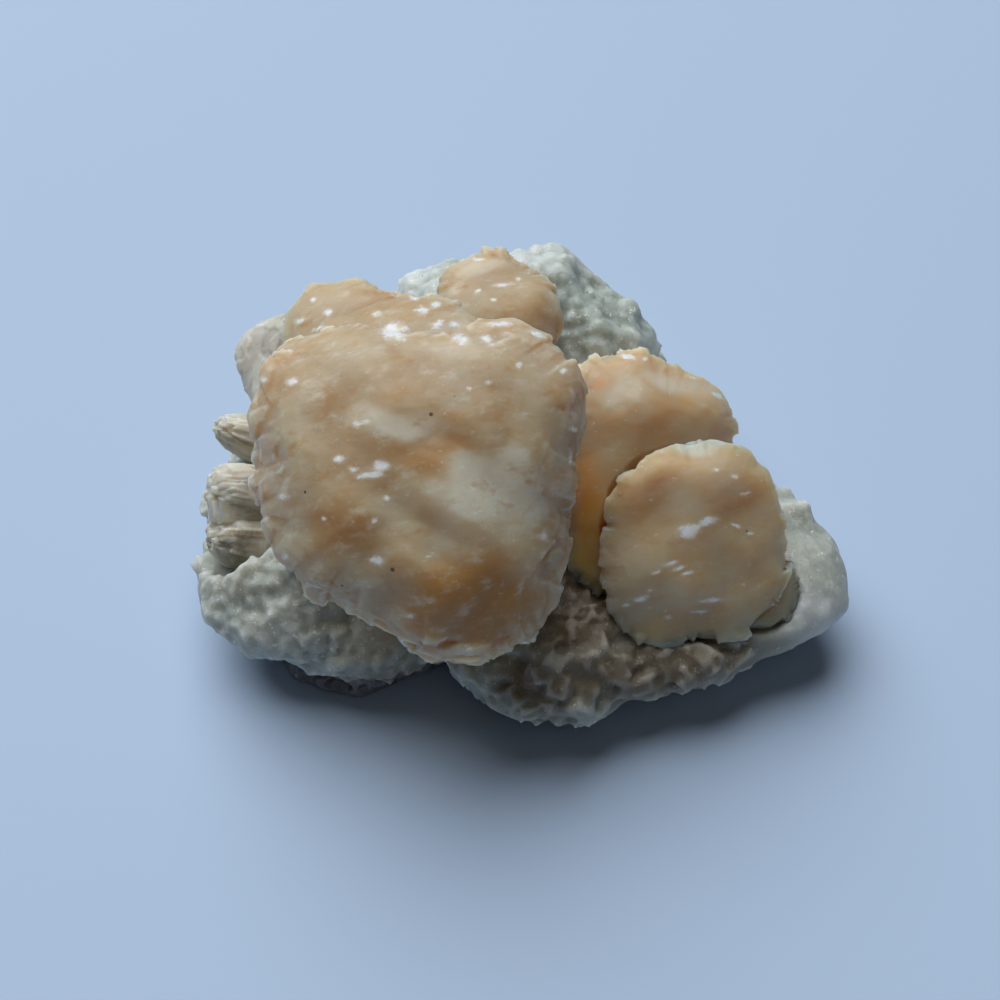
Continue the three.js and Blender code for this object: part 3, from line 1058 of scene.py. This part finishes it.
@dataclass
class DruseCrust:
    """The crust: a lumpy skin, and the small crystals grown together with it."""

    finish: DruseFinish
    zones: tuple[Zone, ...]
    sheaves: tuple[str, ...]
    node: str = "druse_crust"
    slot: str = "druse"
    voxel_mm: float = 0.55
    rounds: int = 5
    skin_mm: float = 0.40
    skin_rounds: int = 1
    cobble_mm: float = 4.2
    cobble_rise_mm: float = 0.5
    lump_mm: float = 0.4
    clear_of_sheaf_mm: float = 0.75
    lowest_mm: float = 2.6
    calm_from_mm: float = 20.0
    calm_to_mm: float = 29.0
    calm: float = 0.35
    # Patches partly of dirt, partly of painted shade.
    stain_and_shade_patches: tuple[Patch, ...] = ()
    # Patches of painted light.
    painted_light: tuple[Patch, ...] = ()
    batch: int = 120
    seed: int = 11

    def build(self, parts: dict[str, bpy.types.Object], view: PhotoView) -> bpy.types.Object:
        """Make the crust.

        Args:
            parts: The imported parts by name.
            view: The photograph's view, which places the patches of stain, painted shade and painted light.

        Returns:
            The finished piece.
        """
        surface = Surface(parts[self.node], "druse", self.voxel_mm, self.rounds)
        cobbles = Cells(surface.places, self.cobble_mm, self.seed)
        out = self.cobble_rise_mm * (cobbles.rounded(0.5) - 0.7 + 0.4 * cobbles.level)
        out += self.lump_mm * noise_over(surface.places, 4.0, self.seed)
        right = smooth_step(self.calm_from_mm * MM, self.calm_to_mm * MM, surface.places[:, 0])
        out *= 1.0 - (1.0 - self.calm) * right
        surface.push(out * smooth_step(1.9 * MM, 3.4 * MM, surface.places[:, 2]))
        surface.join(self._crystals(surface, parts))
        surface.even(self.skin_mm, self.skin_rounds)
        seen = view.faces(surface.places, surface.normals) > -0.2
        surface.note("stain_and_shade", patched(self.stain_and_shade_patches, view.pixels(surface.places), seen))
        surface.note("painted_light", patched(self.painted_light, view.pixels(surface.places), seen))
        surface.note("crest", surface.crest())
        return surface.wear(self.finish, self.node)

    def _crystals(
        self, surface: Surface, parts: dict[str, bpy.types.Object]
    ) -> list[bpy.types.Mesh]:
        """Cover the skin with crystals.

        Args:
            surface: The skin.
            parts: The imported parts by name.

        Returns:
            One mesh for each zone.
        """
        trees = [self._tree(parts[name]) for name in self.sheaves]
        middles = np.array([zone.middle_mm for zone in self.zones]) * MM
        spots = self._spots(surface)
        nearest = [
            int(np.argmin(np.linalg.norm(middles - np.array(place), axis=1))) for place, _ in spots
        ]
        meshes = []
        for number, zone in enumerate(self.zones):
            chance = random.Random(self.seed + number)
            chosen = [spot for spot, owner in zip(spots, nearest) if owner == number]
            chance.shuffle(chosen)
            meshes.append(self._grown(zone, self._thinned(chosen, zone.apart_mm * MM, trees), chance))
        return meshes

    @staticmethod
    def _tree(part: bpy.types.Object) -> BVHTree:
        """Make a part ready for distance tests.

        Args:
            part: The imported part.

        Returns:
            Its tree.
        """
        bm = bmesh.new()
        bm.from_mesh(part.data)
        tree = BVHTree.FromBMesh(bm)
        bm.free()
        return tree

    def _spots(self, surface: Surface) -> list[tuple[Vector, Vector]]:
        """List places where a crystal may stand.

        Args:
            surface: The skin.

        Returns:
            Places and outward directions, clear of the resting surface.
        """
        spots = []
        for place, normal in zip(surface.places, surface.normals):
            if place[2] > self.lowest_mm * MM and normal[2] > -0.75:
                spots.append((Vector(place), Vector(normal)))
        return spots

    def _thinned(
        self, spots: Sequence[tuple[Vector, Vector]], apart: float, trees: Sequence[BVHTree]
    ) -> list[tuple[Vector, Vector]]:
        """Keep spots that are apart from each other and clear of the sheaves.

        Args:
            spots: Places and outward directions in random order.
            apart: The least distance between two.
            trees: The sheaves.

        Returns:
            The spots that are kept.
        """
        taken: set[tuple[int, int, int]] = set()
        kept = []
        for place, normal in spots:
            cell = tuple(int(math.floor(value / apart)) for value in place)
            if cell in taken:
                continue
            taken.add(cell)
            near = self.clear_of_sheaf_mm * MM
            if all(tree.find_nearest(place, near)[0] is None for tree in trees):
                kept.append((place, normal))
        return kept

    def _grown(
        self, zone: Zone, spots: Sequence[tuple[Vector, Vector]], chance: random.Random
    ) -> bpy.types.Mesh:
        """Grow a crystal on every spot of a zone.

        Args:
            zone: The zone.
            spots: Places and outward directions.
            chance: The zone's stream of chances.

        Returns:
            The crystals' mesh.
        """
        whole = bmesh.new()
        for start in range(0, len(spots), self.batch):
            part = bmesh.new()
            for place, normal in spots[start : start + self.batch]:
                size = chance.uniform(*zone.size_mm) * MM
                turn = Euler([chance.uniform(0.0, math.tau) for _ in range(3)]).to_matrix().to_4x4()
                shape = Matrix.Diagonal([size * chance.uniform(0.7, 1.15) for _ in range(3)]).to_4x4()
                middle = place - normal * size * zone.sunk
                self._crystal(part, zone.grain, Matrix.Translation(middle) @ turn @ shape)
            mesh = bpy.data.meshes.new("batch")
            part.to_mesh(mesh)
            part.free()
            whole.from_mesh(mesh)
            bpy.data.meshes.remove(mesh)
        mesh = bpy.data.meshes.new(zone.name)
        whole.to_mesh(mesh)
        whole.free()
        return mesh

    @staticmethod
    def _crystal(part: bmesh.types.BMesh, grain: Grain, matrix: Matrix) -> None:
        """Add one crystal.

        Args:
            part: The mesh that it joins.
            grain: Its shape.
            matrix: Its size, turn and place.
        """
        if grain is Grain.BLOCK:
            bmesh.ops.create_cube(part, size=1.0, matrix=matrix)
        elif grain is Grain.ROUND:
            bmesh.ops.create_uvsphere(part, u_segments=8, v_segments=5, radius=0.55, matrix=matrix)
        else:
            bmesh.ops.create_icosphere(part, subdivisions=1, radius=0.55, matrix=matrix)


@dataclass
class BasaltRind:
    """The broken plate of basalt under the crust."""

    finish: BasaltFinish
    node: str = "basalt_rind"
    slot: str = "basalt"
    voxel_mm: float = 0.45
    rounds: int = 2
    chip_mm: float = 1.1
    seed: int = 5

    def build(self, parts: dict[str, bpy.types.Object]) -> bpy.types.Object:
        """Make the rind.

        Args:
            parts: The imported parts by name.

        Returns:
            The finished piece.
        """
        surface = Surface(parts[self.node], "basalt_stone", self.voxel_mm, self.rounds)
        chips = Cells(surface.places, 3.2, self.seed)
        out = self.chip_mm * (chips.level - 0.6 + 0.5 * chips.tilt)
        out += 0.3 * noise_over(surface.places, 1.6, self.seed)
        surface.push(out * smooth_step(0.2 * MM, 1.2 * MM, surface.places[:, 2]))
        return surface.wear(self.finish, self.node)


@dataclass(frozen=True)
class Lamp:
    """A soft light."""

    name: str
    place: Place
    size: float
    power: float
    colour: Colour

    def hang(self) -> None:
        """Put the light up, aimed at the middle of the floor."""
        data = bpy.data.lights.new(self.name, "AREA")
        data.shape = "DISK"
        data.size = self.size
        data.energy = self.power
        data.color = self.colour
        lamp = bpy.data.objects.new(self.name, data)
        lamp.location = self.place
        lamp.rotation_euler = (-Vector(self.place)).to_track_quat("-Z", "Y").to_euler()
        bpy.context.collection.objects.link(lamp)


@dataclass
class Studio:
    """The floor, the lights and the air round the object."""

    floor: FloorFinish
    lamps: tuple[Lamp, ...]
    air: Colour
    air_strength: float
    floor_size: float = 6.0

    def build(self) -> None:
        """Set the studio up."""
        bm = bmesh.new()
        bmesh.ops.create_grid(bm, x_segments=1, y_segments=1, size=self.floor_size / 2)
        mesh = bpy.data.meshes.new("floor")
        bm.to_mesh(mesh)
        bm.free()
        mesh.materials.append(self.floor.material())
        floor = bpy.data.objects.new("floor", mesh)
        bpy.context.collection.objects.link(floor)
        for lamp in self.lamps:
            lamp.hang()
        world = bpy.data.worlds.new("air")
        world.use_nodes = True
        background = world.node_tree.nodes["Background"]
        background.inputs["Color"].default_value = (*self.air, 1.0)
        background.inputs["Strength"].default_value = self.air_strength
        bpy.context.scene.world = world
        bpy.context.scene.view_settings.view_transform = "Standard"


PEACH = StilbiteFinish(
    name="peach_stilbite",
    # Near full orange: painted glow where the gaps lie in shade.
    deep_and_glow=(0.95, 0.43, 0.08),
    amber=(0.46, 0.245, 0.08),
    body=(0.48, 0.343, 0.195),
    pale=(0.52, 0.432, 0.295),
    cloudy=(0.64, 0.60, 0.49),
    margin=(0.50, 0.40, 0.32),
)
PLAIN_PEACH = replace(
    PEACH, name="plain_peach_stilbite", body=(0.55, 0.385, 0.21), mottle=0.25, facet=0.9
)
# Bright orange amber: painted glow in the shaded gap between the sheaves.
REAR_PEACH = replace(PLAIN_PEACH, name="rear_peach_stilbite", amber=(0.80, 0.37, 0.10))
CREAM = StilbiteFinish(
    name="cream_stilbite",
    deep_and_glow=(0.46, 0.40, 0.28),
    # Dark amber: painted shade at the fans' low ends.
    amber=(0.27, 0.24, 0.18),
    body=(0.455, 0.42, 0.325),
    pale=(0.59, 0.56, 0.485),
    cloudy=(0.72, 0.70, 0.62),
    margin=(0.62, 0.58, 0.48),
    glow_mm=3.0,
    glow=(1.0, 0.75, 0.45),
    ribs=2.4,
    run=(1.0, 1.0, 0.1),
)
DRUSE = DruseFinish(
    name="white_druse",
    clear=(0.43, 0.46, 0.41),
    milky=(0.53, 0.55, 0.495),
    green=(0.41, 0.475, 0.425),
    shade=(0.22, 0.175, 0.115),
)
BASALT = BasaltFinish(
    name="dark_basalt", dark=(0.20, 0.20, 0.23), grey=(0.46, 0.47, 0.51), crumb=(0.6, 0.6, 0.57)
)

MAIN_SHEAF = Sheaf(
    node="main_sheaf",
    name="main_stilbite",
    finish=PEACH,
    seed=3,
    blade_mm=0.9,
    lobes=(
        Lobe((-9.0, -8.4, 29.4), 30.0, -3.0, 44, 19.0, 12.0),
        Lobe((-14.3, 6.9, 36.4), 12.0, -8.0, 24, 9.5, 30.0),
        Lobe((-2.2, -13.4, 26.4), 40.0, 8.0, 30, 11.0, 8.0),
    ),
    # Painted glints, by pixel.
    painted_glint_patches=ovals(
        (394, 332, 44, 30, 0, 1.1), (422, 312, 22, 16), (434, 305, 20, 14, 10),
        (438, 325, 24, 12), (461, 339, 28, 18), (455, 325, 20, 10), (487, 338, 22, 14),
        (501, 323, 44, 9), (540, 334, 34, 7, -20), (376, 313, 18, 12, 0, 0.8),
        (414, 298, 16, 10), (327, 314, 18, 16), (300, 321, 26, 10, 10), (317, 331, 30, 6, 18),
        (312, 300, 10, 8), (292, 382, 18, 12), (265, 379, 16, 12), (381, 466, 26, 20, 0, 1.3),
        (371, 475, 48, 12, 0, 1.2), (340, 459, 22, 14), (354, 468, 16, 10),
        (361, 424, 32, 12, 0, 0.9), (388, 499, 14, 9), (376, 560, 22, 14, 0, 1.3),
        (373, 521, 10, 9), (325, 518, 8, 7), (283, 497, 18, 11), (573, 430, 18, 9),
        (563, 371, 14, 10), (520, 364, 12, 10), (489, 382, 12, 10), (471, 388, 9, 8, 0, 0.9),
        (545, 536, 10, 18, 0, 0.8), (285, 558, 8, 14, 0, 0.9), (410, 616, 24, 10, 0, 0.8),
        (569, 458, 7, 24, 0, 0.9),
    ),
    # Partly milky cloud, partly painted light on upward-facing bands, by pixel.
    haze_and_light_patches=ovals(
        (400, 421, 130, 44, 0, 1.1), (500, 487, 210, 110, 0, 1.5),
        (440, 350, 160, 50, 0, 0.45), (530, 400, 90, 60, 0, 0.4), (372, 590, 26, 60, 0, 0.5),
    ),
    fills=(
        Fill((-10.5, 6.8, 38.9), (8.5, 6.5, 3.1), -18.0),
        Fill((-15.5, 6.5, 38.0), (6.0, 6.0, 3.2), -14.0),
    ),
    # Partly warmer tone, partly painted shade and painted glow, by pixel.
    warm_shade_and_glow_patches=ovals(
        (430, 455, 150, 60, 0, 0.9), (470, 600, 220, 150, 0, 1.3),
        (340, 530, 120, 90, -40, 0.7), (330, 400, 70, 50, 0, 0.5), (560, 400, 40, 80, 0, 0.5),
        (570, 500, 30, 160, 0, 0.6),
    ),
    margins=ovals(
        (262, 470, 60, 240, 0, 1.0), (300, 590, 110, 60, -35, 0.9),
        (430, 655, 180, 40, 0, 0.7),
    ),
)
BACK_SHEAF = Sheaf(
    node="back_sheaf",
    name="back_stilbite",
    finish=PEACH,
    seed=41,
    lobes=(Lobe((0.2, 18.4, 30.0), 12.0, 3.0, 20, 7.5, 12.0),),
    voxel_mm=0.26,
    painted_glint_patches=ovals(
        (502, 287, 34, 7, 8), (518, 279, 10, 6), (480, 294, 14, 8, 25), (476, 258, 22, 5),
        (497, 301, 10, 5),
    ),
    haze_and_light_patches=ovals((480, 264, 110, 36, 0, 0.85), (455, 285, 50, 50, 0, 0.7)),
)
RIGHT_REAR_SHEAF = Sheaf(
    node="right_rear_sheaf",
    name="right_rear_stilbite",
    finish=REAR_PEACH,
    blade_mm=1.3,
    seed=53,
    lobes=(Lobe((17.2, 4.6, 24.6), 36.0, 12.0, 26, 11.0, 10.0),),
    painted_glint_patches=ovals(
        (626, 356, 34, 7, -6), (645, 358, 12, 6), (716, 397, 18, 7, -30),
        (693, 377, 20, 5, -20),
    ),
    haze_and_light_patches=ovals((680, 385, 130, 50, -20, 0.8), (630, 395, 90, 70, 0, 0.6)),
    # Painted glow and shade in the gap beside the main sheaf.
    warm_shade_and_glow_patches=ovals((595, 530, 70, 240, 0, 1.3)),
)
RIGHT_FRONT_SHEAF = Sheaf(
    node="right_front_sheaf",
    name="right_front_stilbite",
    finish=PLAIN_PEACH,
    blade_mm=1.6,
    seed=67,
    lobes=(
        Lobe((22.3, -8.2, 20.0), 42.0, 6.0, 32, 12.0, 16.0),
        Lobe((30.4, -11.6, 14.2), 40.0, 22.0, 14, 4.8, 16.0),
    ),
    painted_glint_patches=ovals(
        (688, 532, 34, 26, 10, 1.3), (705, 523, 32, 14, 15, 1.2), (734, 528, 20, 6, -20),
        (671, 565, 26, 7, 18), (680, 570, 26, 7, 18), (690, 575, 24, 7, 14),
        (657, 573, 18, 6, 18), (640, 599, 26, 12, 20, 1.0), (625, 607, 18, 6, 15),
        (712, 601, 44, 8, 4), (700, 612, 30, 6, 0, 0.8), (735, 477, 16, 6, -10),
        (745, 493, 18, 6, 15), (717, 470, 12, 6, 0, 0.9), (748, 536, 12, 6), (668, 618, 16, 8),
        (767, 446, 20, 8, -40), (650, 590, 14, 6, 0, 0.8),
    ),
    haze_and_light_patches=ovals((705, 440, 110, 34, 0, 0.9), (690, 600, 150, 60, 0, 0.5)),
    warm_shade_and_glow_patches=ovals((650, 500, 90, 90, 0, 0.5)),
)
LEFT_UPPER_SHEAF = Sheaf(
    node="left_upper_sheaf",
    name="left_upper_fan",
    slot="pale_stilbite",
    finish=CREAM,
    lip_mm=0.0,
    under_mm=0.0,
    seed=71,
    lobes=(Lobe((-26.8, 15.8, 23.0), 8.0, -30.0, 26, 7.0, 60.0),),
    voxel_mm=0.26,
    rounds=14,
    rib_share=0.15,
    blade_mm=0.4,
    plate_mm=0.05,
    tip_mm=0.08,
    tip_size_mm=(1.6, 1.2, 2.6),
    swell_mm=0.1,
    painted_glint_patches=ovals((260, 326, 16, 5)),
)
LEFT_MIDDLE_SHEAF = replace(
    LEFT_UPPER_SHEAF,
    node="left_middle_sheaf",
    name="left_middle_fan",
    seed=83,
    lobes=(Lobe((-31.4, 8.0, 18.4), 6.0, -56.0, 20, 4.6, 60.0),),
    voxel_mm=0.24,
    rounds=8,
    stretch_mm=1.6,
    rib_share=0.12,
    blade_orders=((0.4, 0.7), (1.9, 0.5), (4.7, 0.35)),
    tip_mm=0.22,
    taper=0.35,
    painted_glint_patches=(),
)
LEFT_LOWER_SHEAF = replace(
    LEFT_MIDDLE_SHEAF,
    node="left_lower_sheaf",
    name="left_lower_fan",
    seed=97,
    lobes=(
        Lobe((-32.6, 0.6, 17.2), 10.0, -62.0, 22, 5.0, 60.0),
        Lobe((-32.8, -4.4, 14.4), 20.0, -58.0, 22, 5.0, 60.0),
    ),
    voxel_mm=0.26,
    stretch_mm=0.0,
    taper=0.6,
    # Painted shade on the fan's low end.
    warm_shade_and_glow_patches=ovals((235, 545, 80, 60, 0, 1.2)),
)
RIGHT_SHEAVES = (RIGHT_REAR_SHEAF, RIGHT_FRONT_SHEAF)
LEFT_SHEAVES = (LEFT_UPPER_SHEAF, LEFT_MIDDLE_SHEAF, LEFT_LOWER_SHEAF)
SHEAVES = (MAIN_SHEAF, BACK_SHEAF, *RIGHT_SHEAVES, *LEFT_SHEAVES)

CRUST = DruseCrust(
    finish=DRUSE,
    zones=(
        Zone("back", (3.0, 22.0, 20.0), Grain.ROUND, 1.3, (1.2, 1.9), 0.22),
        Zone("left back", (-22.0, 12.0, 12.0), Grain.BLOCK, 1.3, (1.0, 1.9), 0.15),
        Zone("left front", (-28.0, -14.0, 9.0), Grain.BLOCK, 1.2, (0.9, 1.7), 0.2),
        Zone("front", (-1.0, -24.0, 8.0), Grain.BLOCK, 2.0, (1.6, 2.9), 0.26),
        Zone("front right", (14.0, -20.0, 8.0), Grain.BLOCK, 2.0, (1.5, 2.7), 0.28),
        Zone("right", (34.0, -10.0, 9.0), Grain.SHARD, 1.6, (0.9, 1.4), 0.42),
        Zone("right back", (26.0, 10.0, 10.0), Grain.BLOCK, 1.4, (1.0, 1.9), 0.18),
    ),
    # Partly dirt, partly painted shade, by pixel.
    stain_and_shade_patches=ovals(
        (640, 670, 420, 100, 8, 1.1), (540, 690, 180, 110, 0, 0.9),
        (580, 610, 170, 170, 0, 1.4), (400, 680, 240, 60, 0, 0.5),
        (232, 585, 110, 70, 0, 0.35),
    ),
    # Painted light, by pixel.
    painted_light=ovals(
        (820, 615, 130, 90, 0, 0.9), (400, 275, 130, 80, 0, 1.0), (640, 350, 70, 60, 0, 0.5),
        (530, 258, 170, 60, 0, 0.75),
    ),
    sheaves=tuple(sheaf.node for sheaf in SHEAVES),
)
RIND = BasaltRind(finish=BASALT)

STUDIO = Studio(
    floor=FloorFinish("pale_floor", (0.46, 0.58, 0.765)),
    lamps=(
        Lamp("window", (-0.40, 0.78, 1.42), 1.85, 36.0, (0.93, 0.97, 1.0)),
        Lamp("room", (0.2, -0.5, 0.8), 1.0, 0.45, (1.0, 0.93, 0.85)),
    ),
    air=(1.0, 0.9, 0.8),
    air_strength=0.01,
)


def main() -> None:
    """Build the cluster and its studio."""
    logging.basicConfig(level=logging.INFO, format="%(message)s")
    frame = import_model()
    parts = frame["nodes"]
    view = PhotoView()
    view.place_camera()
    STUDIO.build()
    pieces = [sheaf.build(parts, view) for sheaf in SHEAVES]
    pieces += [CRUST.build(parts, view), RIND.build(parts)]
    for piece in pieces:
        LOG.info("%s: %d faces", piece.name, len(piece.data.polygons))


if __name__ == "__main__":
    main()
